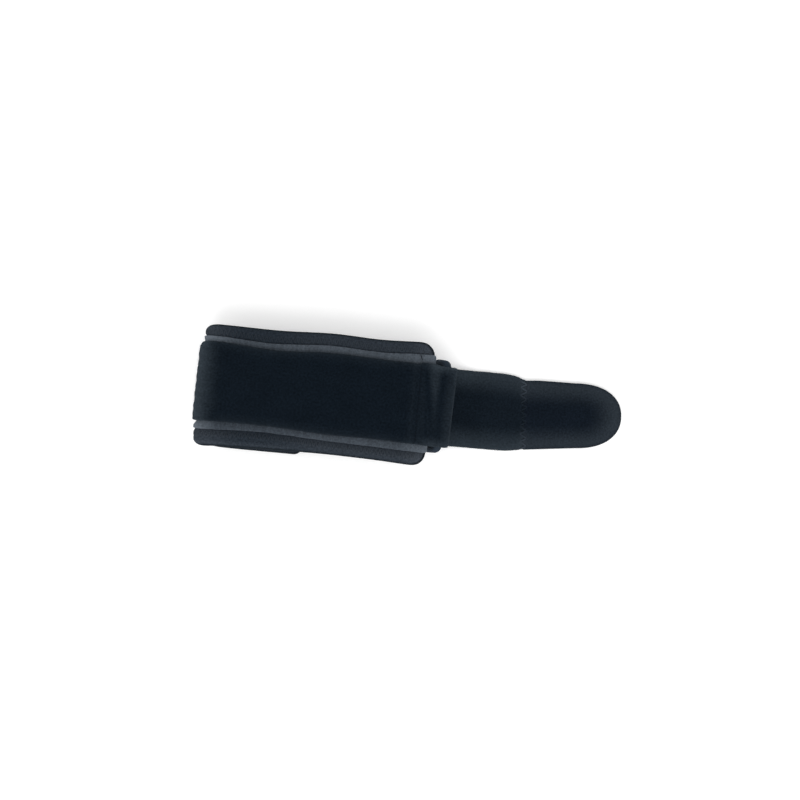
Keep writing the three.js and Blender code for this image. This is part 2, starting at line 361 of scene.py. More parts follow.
# A closed band swept along the loop, round at its long edges and thinner at its ends
def sweepBand(name, rows, edges, faces, band, material, slot, nap, shift=None):
    s = rows[:, None]
    upper, lower = (edge[:, None] for edge in edges)
    columns, rimSteps = band["columns"], band["rimSteps"]
    toEnd = np.minimum(s - rows[0], rows[-1] - s)
    intoEnd = 1 - np.clip(toEnd / band["endRound"], 0, 1)
    endScale = rims["endThin"] + (1 - rims["endThin"]) * np.sqrt(1 - intoEnd ** 2)
    bulge = band["bulge"] * endScale
    inset = drawIn(band["cornerUnder"], s - rows[0]) + drawIn(band["corner"], rows[-1] - s) + bulge
    low, high = lower + inset, upper - inset
    y = low + (high - low) * np.linspace(0, 1, columns)
    inner, outer = faces(s, y)
    middle, half = (inner + outer) / 2, (outer - inner) / 2 * endScale
    angles = np.linspace(quarter, -quarter, rimSteps + 2)[1:-1]
    highH = middle[:, -1:] + half[:, -1:] * np.sin(angles)
    lowH = middle[:, :1] - half[:, :1] * np.sin(angles)
    stand = bulge * np.cos(angles)
    ringY = np.concatenate([y, high + stand, y[:, ::-1], low - stand], axis=1)
    ringH = np.concatenate([middle + half, highH, (middle - half)[:, ::-1], lowH], axis=1)
    toEdge = np.maximum(np.minimum(upper - ringY, ringY - lower), 0)
    if shift:
        ringH = ringH + shift(s, ringY)
    points = placeOnLoop(s, ringY, ringH, toEdge, band.get("foldCorners"), band.get("flared"))

    rowCount, ringCount = ringY.shape
    faceList = tubeFaces(rowCount, ringCount)
    across = np.arange(columns)
    back = columns + rimSteps + across[::-1]
    caps = np.stack([across[:-1], across[1:], back[1:], back[:-1]], axis=-1).tolist()
    caps.append(list(range(columns - 1, columns + rimSteps + 1)))
    caps.append(list(range(2 * columns + rimSteps - 1, ringCount)) + [0])
    last = (rowCount - 1) * ringCount
    for cap in caps:
        faceList += [cap, [k + last for k in reversed(cap)]]

    place = asPoints(s, ringY, np.repeat([0, 1], columns + rimSteps))
    onRim = np.tile(np.repeat([0.0, 1.0], [columns, rimSteps]), 2)
    rim = np.maximum(onRim, rims["nearEdge"] * ramp(np.minimum(toEdge, toEnd), (band["wear"], 0)))
    if "cutWidth" in band:
        corner = np.where(2 * s < rows[0] + rows[-1], band["cornerUnder"], band["corner"])
        toCut = corner - np.hypot(np.maximum(corner - toEnd, 0), np.maximum(corner - toEdge, 0))
        width = band["cutWidth"] * (1 + rims["cutEnd"] * ramp(toEnd, rims["cutEndOver"]))
        rim = np.maximum(rim, smooth(rims["cutStart"] - toCut / width))
    # The painted-light share goes on the points beside the rim mark
    return newPiece(name, points, faceList, material, slot, place, rim=rim, nap=nap(s, ringY))


threadTaper = 0.45   # radius at a thread's two ends


# A piece with a thread along each path, its frame taken from the surface's normals
def sewThreads(name, paths, normals, look, material, slot, nap=None):
    sides = look.get("sides", 6)
    angles = np.arange(sides) * 2 * math.pi / sides
    points, faces, place = [], [], []
    start = 0
    for path, normal in zip(paths, normals):
        along = unit(np.gradient(path, axis=0))
        across = unit(np.cross(along, normal))
        up = np.cross(across, along)
        travelled = np.concatenate([[0], np.cumsum(np.linalg.norm(np.diff(path, axis=0), axis=1))])
        size = np.full((len(path), 1, 1), look["radius"])
        size[[0, -1]] *= threadTaper
        spokes = np.cos(angles)[:, None] * across[:, None] + np.sin(angles)[:, None] * up[:, None]
        points.append((path[:, None] + size * spokes).reshape(-1, 3))
        place.append(asPoints(travelled[:, None], angles / (2 * math.pi), 0))
        end = start + (len(path) - 1) * sides
        faces += [[start + k for k in quad] for quad in tubeFaces(len(path), sides)]
        faces += [list(range(start, start + sides)), list(range(end + sides - 1, end - 1, -1))]
        start = end + sides
    points = np.concatenate(points)
    # A thread's painted-light share, where one is given
    marks = dict(nap=nap(points)) if nap else {}
    newPiece(name, points, faces, material, slot, np.concatenate(place), **marks)


# Material helpers
def addNode(tree, kind, **settings):
    node = tree.nodes.new(kind)
    for key, value in settings.items():
        setattr(node, key, value)
    return node


def feed(tree, socket, value):
    if isinstance(value, bpy.types.NodeSocket):
        tree.links.new(value, socket)
    else:
        socket.default_value = value


def feedAll(tree, node, values):
    for label, value in values.items():
        feed(tree, node.inputs[label], value)


def calc(tree, operation, *values):
    node = addNode(tree, "ShaderNodeMath", operation=operation)
    for socket, value in zip(node.inputs, values):
        feed(tree, socket, value)
    return node.outputs[0]


def mixColours(tree, factor, first, second, blend="MIX"):
    node = addNode(tree, "ShaderNodeMix", data_type="RGBA", blend_type=blend)
    feed(tree, node.inputs["Factor"], factor)
    feed(tree, node.inputs[6], first)   # 6, 7 and 2 are the node's colour sockets
    feed(tree, node.inputs[7], second)
    return node.outputs[2]


def remap(tree, value, fromLow, fromHigh, toLow=0.0, toHigh=1.0):
    node = addNode(tree, "ShaderNodeMapRange")
    for socket, part in zip(node.inputs, (value, fromLow, fromHigh, toLow, toHigh)):
        feed(tree, socket, part)
    return node.outputs[0]


faceStep = 7.3   # keeps the noise on a band's two faces apart


def stretched(tree, place, along, across):
    node = addNode(tree, "ShaderNodeVectorMath", operation="MULTIPLY")
    feed(tree, node.inputs[0], place)
    node.inputs[1].default_value = (along, across, faceStep)
    return node.outputs[0]


def noise(tree, vector, scale, detail=2.0, roughness=0.5):
    node = addNode(tree, "ShaderNodeTexNoise")
    feedAll(tree, node, dict(Vector=vector, Scale=scale, Detail=detail, Roughness=roughness))
    return node.outputs["Fac"]


# Light and dark patches a millimetre or two wide
def mottle(tree, place, scale, darkest, lightest):
    return remap(tree, noise(tree, place, scale, 3.0, 0.7), 0.32, 0.68, darkest, lightest)


def splitPlace(tree, place):
    parts = addNode(tree, "ShaderNodeSeparateXYZ")
    feed(tree, parts.inputs[0], place)
    return parts.outputs


# A group's sockets by their first values: none for a vector, a tuple for a colour
def newGroup(name, inputs, outputs):
    group = bpy.data.node_groups.new(name, "ShaderNodeTree")
    for sockets, way in ((inputs, "INPUT"), (outputs, "OUTPUT")):
        for label, value in sockets.items():
            kind = "Vector" if value is None else "Color" if isinstance(value, tuple) else "Float"
            socket = group.interface.new_socket(name=label, in_out=way, socket_type="NodeSocket" + kind)
            if value is not None:
                socket.default_value = value
    return group, addNode(group, "NodeGroupInput").outputs, addNode(group, "NodeGroupOutput").inputs


def useGroup(tree, group, **values):
    node = addNode(tree, "ShaderNodeGroup", node_tree=group)
    feedAll(tree, node, values)
    return node.outputs


def readMark(tree, label="place", kind="Vector"):
    return addNode(tree, "ShaderNodeAttribute", attribute_name=label).outputs[kind]


textureOut = dict(Height=0.0, Shade=1.0)
plainColour = (0.1, 0.1, 0.1, 1)


# Knitted face: columns of small V-shaped loops, mottled, with painted shade darkening the valleys between
# the loops
def makeKnitGroup():
    group, given, out = newGroup(
        "knitLoops", dict(Place=None, Pitch=0.7, Darkest=0.6, Lightest=1.4), textureOut)
    parts = splitPlace(group, given["Place"])
    wobble = noise(group, given["Place"], 0.6, 1.0)
    column, course = (
        calc(group, "DIVIDE", calc(group, "MULTIPLY_ADD", wobble, sway, parts[axis]), given["Pitch"])
        for axis, sway in (("Y", 0.5), ("X", 0.7)))
    slant = calc(group, "PINGPONG", column, 0.5)
    leg = calc(group, "PINGPONG", calc(group, "MULTIPLY_ADD", slant, 1.1, course), 0.5)
    valley = calc(group, "SMOOTH_MIN", calc(group, "MULTIPLY", slant, 2.4), 1.0, 0.4)
    height = calc(group, "MULTIPLY", calc(group, "MULTIPLY", leg, 2.0), valley)
    grain = mottle(group, given["Place"], 0.9, given["Darkest"], given["Lightest"])
    feed(group, out["Height"], height)
    feed(group, out["Shade"], calc(group, "MULTIPLY", remap(group, height, 0.0, 0.9, 0.78, 1.12), grain))
    return group


# Brushed pile: fine fibres lying along the strap, in patches that lie differently
def makePileGroup():
    group, given, out = newGroup("pileNap", dict(Place=None, Coarse=1.0), textureOut)
    scaled = addNode(group, "ShaderNodeVectorMath", operation="SCALE")
    feed(group, scaled.inputs[0], given["Place"])
    feed(group, scaled.inputs["Scale"], calc(group, "DIVIDE", 1.0, given["Coarse"]))
    fibres = noise(group, stretched(group, scaled.outputs[0], 1.1, 2.6), 1.0, 3.0, 0.65)
    loops = noise(group, stretched(group, scaled.outputs[0], 2.3, 2.0), 1.0, 1.0)
    patches = noise(group, stretched(group, given["Place"], 0.055, 0.09), 1.0, 3.0, 0.55)
    height = calc(group, "MULTIPLY_ADD", fibres, 0.7, calc(group, "MULTIPLY", loops, 0.5))
    grain = mottle(group, given["Place"], 0.95, 0.54, 1.52)
    feed(group, out["Height"], height)
    feed(group, out["Shade"], calc(group, "MULTIPLY", remap(group, patches, 0.3, 0.7, 0.9, 1.1), grain))
    return group


# Cloth colour with painted light (lifted towards a lighter colour where the painted-light mark is high),
# the worn rims and the odd speck of lint
def makeWearGroup():
    group, given, out = newGroup(
        "clothWear", dict(Place=None, Rim=0.0, Colour=plainColour, Worn=plainColour, Amount=0.4, Shade=1.0,
                          Opened=0.0, Lighter=plainColour), dict(Colour=plainColour))
    # Painted light: the colour lifted towards its painted lit colour where the mark is high, with less
    # grain there
    tone = mixColours(group, given["Opened"], given["Colour"], given["Lighter"])
    depth = calc(group, "MULTIPLY_ADD", given["Opened"], -0.5, 1.0)
    shaded = mixColours(group, depth, tone, given["Shade"], "MULTIPLY")
    uneven = remap(group, noise(group, given["Place"], 0.9, 3.0), 0.35, 0.7, 0.3)
    onRim = calc(group, "MULTIPLY", calc(group, "MULTIPLY", given["Rim"], uneven), given["Amount"])
    worn = mixColours(group, onRim, shaded, given["Worn"])
    specks = addNode(group, "ShaderNodeTexVoronoi", feature="F1")
    feedAll(group, specks, dict(Vector=stretched(group, given["Place"], 0.35, 0.5), Scale=0.8))
    lint = remap(group, specks.outputs["Distance"], 0.03, 0.06, 0.05, 0.0)
    feed(group, out["Colour"], mixColours(group, lint, worn, given["Worn"]))
    return group


# Twisted plies of a sewing thread, with painted shade darkening the grooves between the plies
def makeTwistGroup():
    group, given, out = newGroup("threadTwist", dict(Place=None), textureOut)
    parts = splitPlace(group, given["Place"])
    turn = calc(group, "MULTIPLY_ADD", parts["X"], 1.6, parts["Y"])
    ply = calc(group, "PINGPONG", calc(group, "MULTIPLY", turn, 2.0), 0.5)
    height = calc(group, "MULTIPLY", ply, 2.0)
    feed(group, out["Height"], height)
    feed(group, out["Shade"], remap(group, height, 0.0, 1.0, 0.7, 1.15))
    return group


knitGroup = makeKnitGroup()
pileGroup = makePileGroup()
wearGroup = makeWearGroup()
twistGroup = makeTwistGroup()

clothFinish = {"Roughness": 0.9, "Specular IOR Level": 0.0, "Sheen Weight": 0.05,
               "Sheen Roughness": 0.5, "Sheen Tint": (0.7, 0.85, 1.0, 1)}


def newMaterial(name, finish):
    material = bpy.data.materials.new(name)
    material.use_nodes = True
    tree = material.node_tree
    shader = tree.nodes["Principled BSDF"]
    feedAll(tree, shader, finish)
    return material, tree, shader


def paint(tree, shader, colour, height, distance, strength=1.0):
    bump = addNode(tree, "ShaderNodeBump")
    feedAll(tree, bump, dict(Strength=strength, Distance=distance * mm, Height=height))
    feedAll(tree, shader, {"Base Color": colour, "Normal": bump.outputs["Normal"]})


# The painted-light mark on the mesh lifts the cloth towards its painted lit colour
def clothColour(tree, place, look, shade):
    return useGroup(tree, wearGroup, Place=place, Rim=readMark(tree, "rim", "Fac"), Colour=look["cloth"],
                    Worn=look["worn"], Amount=look["rub"], Shade=shade,
                    Opened=readMark(tree, "nap", "Fac"), Lighter=look["open"])["Colour"]


def knitFace(tree, place, look):
    darkest, lightest = look["mottle"]
    return useGroup(tree, knitGroup, Place=place, Pitch=look["pitch"], Darkest=darkest, Lightest=lightest)


# Each cloth: its plain colour, and the painted lit colour that painted light lifts it towards
neopreneLook = dict(
    cloth=(0.0163, 0.0223, 0.0304, 1), open=(0.0545, 0.0635, 0.0775, 1), worn=(0.06, 0.07, 0.085, 1),
    rub=0.0, mottle=(0.55, 1.52), pitch=0.75, bump=0.12, foam=(0.007, 0.0095, 0.0125, 1),
    pores=(0.012, 0.0155, 0.019, 1), poreScale=2.8)


def makeNeoprene():
    look = neopreneLook
    material, tree, shader = newMaterial("neopreneJersey", clothFinish)
    place = readMark(tree)
    jersey = knitFace(tree, place, look)
    cells = noise(tree, place, look["poreScale"])
    foam = mixColours(tree, remap(tree, cells, 0.35, 0.65), look["foam"], look["pores"])
    cut = remap(tree, readMark(tree, "rim", "Fac"), 0.1, 0.9)
    colour = mixColours(tree, cut, clothColour(tree, place, look, jersey["Shade"]), foam)
    paint(tree, shader, colour, calc(tree, "ADD", jersey["Height"], cells), look["bump"])
    return material


greyLook = dict(
    cloth=(0.0375, 0.0466, 0.0585, 1), open=(0.119, 0.139, 0.164, 1), worn=(0.10, 0.115, 0.14, 1), rub=0.25,
    mottle=(0.66, 1.36), pitch=0.6, bump=0.08, sheen=(0.85, 0.92, 1.0, 1), creases=(0.45, 0.03),
    creaseHeight=1.5)


def makeGrey():
    look = greyLook
    material, tree, shader = newMaterial("greyKnit", {**clothFinish, "Sheen Tint": look["sheen"]})
    place = readMark(tree)
    face = knitFace(tree, place, look)
    creases = noise(tree, stretched(tree, place, *look["creases"]), 1.0)
    # Painted shade: the grey darker along the low creases, lighter along the high ones
    shade = calc(tree, "MULTIPLY", face["Shade"], remap(tree, creases, 0.35, 0.65, 0.88, 1.1))
    height = calc(tree, "MULTIPLY_ADD", creases, look["creaseHeight"], face["Height"])
    paint(tree, shader, clothColour(tree, place, look, shade), height, look["bump"])
    return material


# The pile's plain colour, and the painted lit colour that painted light lifts it towards at folds and edges
pileLook = dict(
    name="loopPile", cloth=(0.0041, 0.0070, 0.0110, 1), open=(0.0248, 0.0330, 0.0416, 1),
    worn=(0.035, 0.042, 0.048, 1), rub=0.2, roughness=0.95, coarse=0.45, bump=0.28)
tabLook = dict(
    name="tabCloth", cloth=(0.0048, 0.0076, 0.0123, 1), open=(0.0262, 0.0336, 0.0418, 1),
    worn=(0.035, 0.042, 0.048, 1), rub=0.0, roughness=0.9, coarse=0.35, bump=0.22)


def makePile(look):
    material, tree, shader = newMaterial(look["name"], {**clothFinish, "Roughness": look["roughness"]})
    place = readMark(tree)
    nap = useGroup(tree, pileGroup, Place=place, Coarse=look["coarse"])
    paint(tree, shader, clothColour(tree, place, look, nap["Shade"]), nap["Height"], look["bump"], 0.8)
    return material


plasticLook = dict(
    body=(0.0200, 0.0280, 0.0390, 1), scuff=(0.030, 0.040, 0.053, 1), scuffs=(0.4, 2.5),
    tint=(0.6, 0.8, 1.0, 1), specular=0.04, rough=(0.7, 0.85), grain=0.02, grainScale=6.0)


def makePlastic():
    look = plasticLook
    material, tree, shader = newMaterial("ringPlastic", {
        "Specular IOR Level": look["specular"], "Specular Tint": look["tint"]})
    place = readMark(tree)
    marks = noise(tree, stretched(tree, place, *look["scuffs"]), 1.0, 4.0, 0.6)
    scuffed = remap(tree, marks, 0.55, 0.75, 0.0, 0.5)
    colour = mixColours(tree, scuffed, look["body"], look["scuff"])
    feed(tree, shader.inputs["Roughness"], remap(tree, marks, 0.3, 0.75, *look["rough"]))
    paint(tree, shader, colour, noise(tree, place, look["grainScale"]), look["grain"], 0.6)
    return material


threadLook = dict(
    finish={**clothFinish, "Roughness": 0.85, "Specular IOR Level": 0.04, "Sheen Weight": 0.02}, bump=0.05)


def makeThread(name, colour, openColour=None):
    material, tree, shader = newMaterial(name, threadLook["finish"])
    plies = useGroup(tree, twistGroup, Place=readMark(tree))
    # Painted light: the thread lifted towards its lit colour where its painted-light mark is high
    if openColour:
        colour = mixColours(tree, readMark(tree, "nap", "Fac"), colour, openColour)
    colour = mixColours(tree, 1.0, colour, plies["Shade"], "MULTIPLY")
    paint(tree, shader, colour, plies["Height"], threadLook["bump"])
    return material


nylonLook = dict(dark=(0.008, 0.009, 0.011, 1), light=(0.02, 0.022, 0.026, 1), rough=(0.3, 0.5), scale=0.8)


def makeHookNylon():
    look = nylonLook
    material, tree, shader = newMaterial("hookNylon", {"Specular IOR Level": 0.4})
    tone = noise(tree, readMark(tree), look["scale"])
    feed(tree, shader.inputs["Base Color"], mixColours(tree, tone, look["dark"], look["light"]))
    feed(tree, shader.inputs["Roughness"], remap(tree, tone, 0.3, 0.7, *look["rough"]))
    return material


neoprene = makeNeoprene()
greyCloth = makeGrey()
loopPile = makePile(pileLook)
tabCloth = makePile(tabLook)
ringPlastic = makePlastic()
# The edge and seam threads' second colours are their painted lit colours
edgeThread = makeThread("edgeThread", (0.0225, 0.0295, 0.0385, 1), (0.071, 0.082, 0.098, 1))
seamThread = makeThread("seamThread", (0.0078, 0.0126, 0.0192, 1), (0.044, 0.056, 0.072, 1))
darkThread = makeThread("darkThread", (0.005, 0.0075, 0.0115, 1))
hookNylon = makeHookNylon()
print("materials made")

# Base band: neoprene with puffy margins either side of the grey band
base = dict(
    step=0.9, columns=74, rimSteps=6, corner=7.8, cornerUnder=4.6, bulge=0.95, endRound=1.5,
    foldCorners=loop["foldCorners"], flared=True, wear=1.0, cutWidth=1.1, lumps=(0.06, 0.35, 0.3, 3),
    puff=0.95, puffEnd=1.06, puffPower=0.8, foldFlat=0.7, groove=0.25, grooveWidth=0.55, edgeDrop=0.55,
    dropOver=(0.72, 1), hollow=0.25, underRise=0.45, riseOver=(0.6, 1), edgeShade=0.65, shadeOver=(2.6, 0),
    ridge=0.28, ridgeAt=1.9, ridgeWidth=0.8, ridgeOver=(-55, -75), cornerShares=np.linspace(0.25, 1, 7))


def baseFaces(s, y):
    upper, lower = edgesAt(baseEdges, s)
    greyUpper, greyLower = edgesAt(greyEdges, s)
    beyond = np.maximum(y - greyUpper, greyLower - y)
    margin = np.where(y > 0, upper - greyUpper, greyLower - lower)
    part = np.clip(beyond / margin, 0, 1)
    rise = base["puff"] * np.sin(math.pi * np.minimum(part * base["puffEnd"], 1)) ** base["puffPower"]
    rise = rise - base["groove"] * bell(beyond / base["grooveWidth"])
    rise = rise * (1 - base["foldFlat"] * foldShare(s)) - base["edgeDrop"] * ramp(part, base["dropOver"])
    outer = baseOuter + rise + softNoise(base["lumps"], s, y) * (part > 0)
    inner = baseInner - base["hollow"] * np.sin(math.pi * part)
    return inner + base["underRise"] * ramp(part, base["riseOver"]), outer


# Painted light on the base band: the side shares, painted shade next to its lower edge and a painted
# highlight line along the lower margin
def baseNap(s, y):
    fromLower = y - readTable(baseEdges, s, 2)
    ridge = base["ridge"] * bell((fromLower - base["ridgeAt"]) / base["ridgeWidth"])
    shade = 1 - base["edgeShade"] * ramp(fromLower, base["shadeOver"])
    return bandNap(s, y, "base") * shade + ridge * ramp(upperX(np.abs(s)), base["ridgeOver"])


def makeBase():
    near = base["cornerShares"]
    rows = bandRows(baseStart, baseEnd, base,
                    [baseStart + base["cornerUnder"] * near, baseEnd - base["corner"] * near])
    edges = edgesAt(baseEdges, rows)
    piece = sweepBand("baseBand", rows, edges, baseFaces, base, neoprene, "neoprene", baseNap)
    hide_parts("base_band")


makeBase()

# Grey band: thin knitted cloth stitched down the middle of the base
grey = dict(
    step=1.0, columns=44, rimSteps=4, corner=1.5, cornerUnder=1.5, bulge=0.4, endRound=0.6, flared=True,
    wear=0.8, dent=0.28, dentWidth=0.7, edgeDrop=0.2, dropOver=(1.2, 0), ripples=(0.05, 1.1, 0.12, 5),
    lumps=(0.03, 0.3, 0.4, 6), ragged=[(0.12, 0.5, 3, 9), (0.12, 0.5, 0, 8)],
    dentRows=np.array([-1.5, -1.0, -0.6, -0.3, 0, 0.3, 0.6, 1.0, 1.5]))


def greyFaces(s, y):
    drop = grey["edgeDrop"] * ramp(toEdges(greyEdges, s, y), grey["dropOver"])
    dent = grey["dent"] * bell((s - seamS) / grey["dentWidth"])
    outer = greyOuter + softNoise(grey["ripples"], s, y) + softNoise(grey["lumps"], s, y) - dent - drop
    return greyInner + 0 * outer, outer


# Painted light over the grey band, each side as the table gives
def greyNap(s, y):
    return bandNap(s, y, "grey")


def makeGreyBand():
    rows = bandRows(baseStart, over(loop["greyEndOver"]), grey, [seamS + grey["dentRows"]])
    edges = raggedEdges(greyEdges, rows, grey["ragged"])
    piece = sweepBand("greyBand", rows, edges, greyFaces, grey, greyCloth, "grey_cloth", greyNap)
    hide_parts("grey_band")


makeGreyBand()

# Strap: loop pile, folded round the ring and sewn back, its tail arched over the floor
strap = dict(
    step=0.85, fineStep=0.42, fineOver=(-12, 8), leastStep=0.05, tailPast=0.4, columns=52, rimSteps=6,
    corner=0.2, cornerUnder=0.2, bulge=0.85, endRound=1.0, tuftsTop=1.6, tuftsUnder=2,
    foldCorners=(3.0, 0.6), wear=2.0, thin=0.3, arch=2.2, archOver=(23, 40),
    waves=[(0.07, 0.22, 0.25, 11), (0.03, 0.9, 0.8, 12)], tufts=(0.5, 0.6, 1.7, 13), innerWaves=0.4,
    ragged=[(0.14, 1.3, 5, 15), (0.14, 1.3, 0, 14)])
# Creases across the upper run: x, width, rise, middle y, span, slant, narrowing
wrinkles = [
    (-9.5, 0.9, -0.10, 4, 30, 0, 0),
    (-5.2, 0.8, -0.14, -3, 26, 0, 0),
    (-1.6, 0.7, 0.10, 2, 24, 0, 0),
    (1.8, 0.6, -0.09, 0, 60, 0, 0),
    (6.6, 0.6, -0.10, -8, 12, -0.09, 0),
    (6.5, 0.9, -0.17, 7, 17, -0.14, 0),
    (9.1, 1.9, 0.55, 15, 13, -0.06, 0.045),
    (13.4, 1.8, -0.09, 4, 24, 0, 0),
]


# x on the upper run, and far away on the lower one
def strapTopX(s):
    return np.where(s > 0, upperX(s), -1e3)


def strapFolds(s, y):
    folds = 0 * y
    for x, width, rise, middle, span, slant, narrow in wrinkles:
        fromCrease = strapTopX(s) - x - slant * (y - middle)
        width = width * np.maximum(1 + narrow * (y - middle), 0.3)
        folds = folds + rise * bell(fromCrease / width) * bell((y - middle) / span)
    return folds


# 0 along the strap's middle, 1 at its edges
def fromMiddle(s, y):
    upper, lower = edgesAt(strapEdges, s)
    return np.abs(2 * (y - lower) / (upper - lower) - 1)


def strapFaces(s, y):
    thin = strap["thin"] * fromMiddle(s, y) ** thinPower
    turn = s / foldArc
    onFold = smooth(strap["tuftsTop"] - turn) * smooth(strap["tuftsUnder"] * (1 + turn))
    uneven = sum(softNoise(row, s, y) for row in strap["waves"])
    uneven = uneven + softNoise(strap["tufts"], s, y) * onFold
    inner = thin + strap["innerWaves"] * uneven
    outer = thick["strap"] - thin + strapFolds(s, y) + uneven
    return inner, outer


def strapShift(s, y):
    v = np.clip(fromMiddle(s, y), 0, 1)
    return -strap["arch"] * ramp(lowerX(s), strap["archOver"]) * (1 - v ** archPower)


# Painted light: a lighter strip along the seam between the tail and the tab, fading towards the middle
seamRub = dict(nap=0.36, width=2.0, shift=0.5, over=(5, 15))


def seamNap(fromSeam, y):
    return seamRub["nap"] * bell(fromSeam / seamRub["width"]) * ramp(np.abs(y), seamRub["over"])


# Painted light on the strap, lighter at the left fold, the edges and the crest;
# painted highlight and shade along the creases, a little lighter on the top run near the ring and on the
# tail
strapRub = dict(
    foldOver=(-7.6, 8.0), foldPower=2.2, foldUneven=(1.2, 0.5, 0.35, 17), tailOver=(17, 22),
    ringOver=(3, 11), edge=0.14, tailEdge=0.64, tailSide=0.04, ringEdge=0.5, edgeWidth=6, tailWidth=9,
    upperRing=0.3, upperOver=(2.4, 0), crest=0.27, crestOver=(-2.4, 2.2), crestMiddle=0.75, crestEdge=1.1,
    crestEdgeOver=(9, 0), ridge=0.32, ridgeFull=0.4, ridgeRange=(-0.3, 1.2), top=0.10, topOver=(-8, 6),
    tail=0.06)


# Share of painted light and shade over the strap, from the settings above
def strapNap(s, y):
    rub = strapRub
    toEdge = toEdges(strapEdges, s, y)
    intoFold = foldArc - np.abs(s) + softNoise(rub["foldUneven"], s, y)
    fold = ramp(intoFold, rub["foldOver"]) ** rub["foldPower"]
    onTail, nearRing = ramp(lowerX(s), rub["tailOver"]), ramp(upperX(s), rub["ringOver"])
    edge = rub["edge"] + rub["ringEdge"] * nearRing
    edge = edge + (rub["tailEdge"] + rub["tailSide"] * np.sign(y)) * onTail
    edge = edge * ramp(toEdge, (rub["edgeWidth"] + rub["tailWidth"] * onTail, 0))
    edge = edge + rub["upperRing"] * nearRing * (y > 0) * ramp(toEdge, rub["upperOver"])
    crest = rub["crest"] * ramp(s - ringFoldStart, rub["crestOver"])
    crest = crest * (rub["crestMiddle"] + rub["crestEdge"] * ramp(toEdge, rub["crestEdgeOver"]))
    ridges = rub["ridge"] * np.clip(strapFolds(s, y) / rub["ridgeFull"], *rub["ridgeRange"])
    ridges = ridges + rub["top"] * ramp(strapTopX(s), rub["topOver"]) + rub["tail"] * onTail
    ridges = ridges + seamNap(s - under(tailEndX) - seamRub["shift"], y)
    return np.clip(np.maximum(np.maximum(fold, edge), crest) + ridges, 0, 1)


def makeStrap():
    fineStart, finePast = strap["fineOver"]   # the creases and the ring's turn
    fine = np.arange(over(fineStart), ringFoldStart + finePast, strap["fineStep"])
    rows = bandRows(under(tailEndX + strap["tailPast"]), strapEnd, strap, [fine], 3)
    rows = rows[np.concatenate([[True], np.diff(rows) > strap["leastStep"]])]
    edges = raggedEdges(strapEdges, rows, strap["ragged"])
    piece = sweepBand(
        "pileStrap", rows, edges, strapFaces, strap, loopPile, "loop_pile", strapNap, strapShift)
    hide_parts("strap")


makeStrap()

# Hook tab: rounded, domed cloth with rows of small hooks underneath
tab = dict(
    length=55.6, width=39.7, tipWidth=36.6, tipLength=25.0, tipSquare=2.25, skew=4.0, gap=-0.7, side=-0.1,
    neck=0.55, neckOver=(0.35, 0), thickness=1.9, thin=0.3, dome=2.3, lift=0.35, bulge=0.8, seamBulge=0.35,
    rows=34, tipRows=26, columns=45, rimSteps=6, uneven=(0.06, 0.3, 0.3, 21), nap=0.78, napOver=(15, 0),
    napSide=0.07, napSideY=-8, napDrop=0.3, dropOver=(0.9, 1), rimNap=0.4)


def makeTabGrid():
    v = np.linspace(-1, 1, tab["columns"])[None, :]
    tipStart = tab["length"] - tab["tipLength"] - tab["bulge"]
    t = np.linspace(0, 1, tab["rows"])[:-1, None]
    half = (tab["width"] + (tab["tipWidth"] - tab["width"]) * t) / 2 - tab["bulge"]
    y = v * half - tab["neck"] * ramp(t, tab["neckOver"]) * np.maximum(v, 0)
    x = tipStart * t + 0 * y
    reach = np.abs(v) + 0 * t
    u = np.linspace(0, 1, tab["tipRows"])[:, None]
    roundX, roundY = u * np.sqrt(1 - v * v / 2), v * np.sqrt(1 - u * u / 2)
    size = np.maximum(np.sqrt(roundX ** 2 + roundY ** 2), 1e-6)
    power = tab["tipSquare"]
    spread = np.abs(roundX / size) ** power + np.abs(roundY / size) ** power
    corner = np.maximum(spread, 0.1) ** (-1 / power)
    tipX = tipStart + tab["tipLength"] * roundX * corner
    tipY = (tab["tipWidth"] / 2 - tab["bulge"]) * roundY * corner
    tipReach = np.sqrt(np.minimum(u * u + v * v - u * u * v * v, 1))
    return np.vstack([x, tipX]), np.vstack([y, tipY]), np.vstack([reach, tipReach])


def tabToWorld(x, y):
    angle = math.radians(tab["skew"])
    worldX = tailEndX + tab["gap"] + x * math.cos(angle) - y * math.sin(angle)
    return worldX, tab["side"] + x * math.sin(angle) + y * math.cos(angle)


def tabHeights(x, y, reach):
    middle = tab["lift"] + tab["thickness"] / 2 + tab["dome"] * (1 - reach ** archPower)
    middle = middle + softNoise(tab["uneven"], x, y)
    half = tab["thickness"] / 2 * (1 - tab["thin"] * reach ** thinPower)
    return middle - half, middle + half


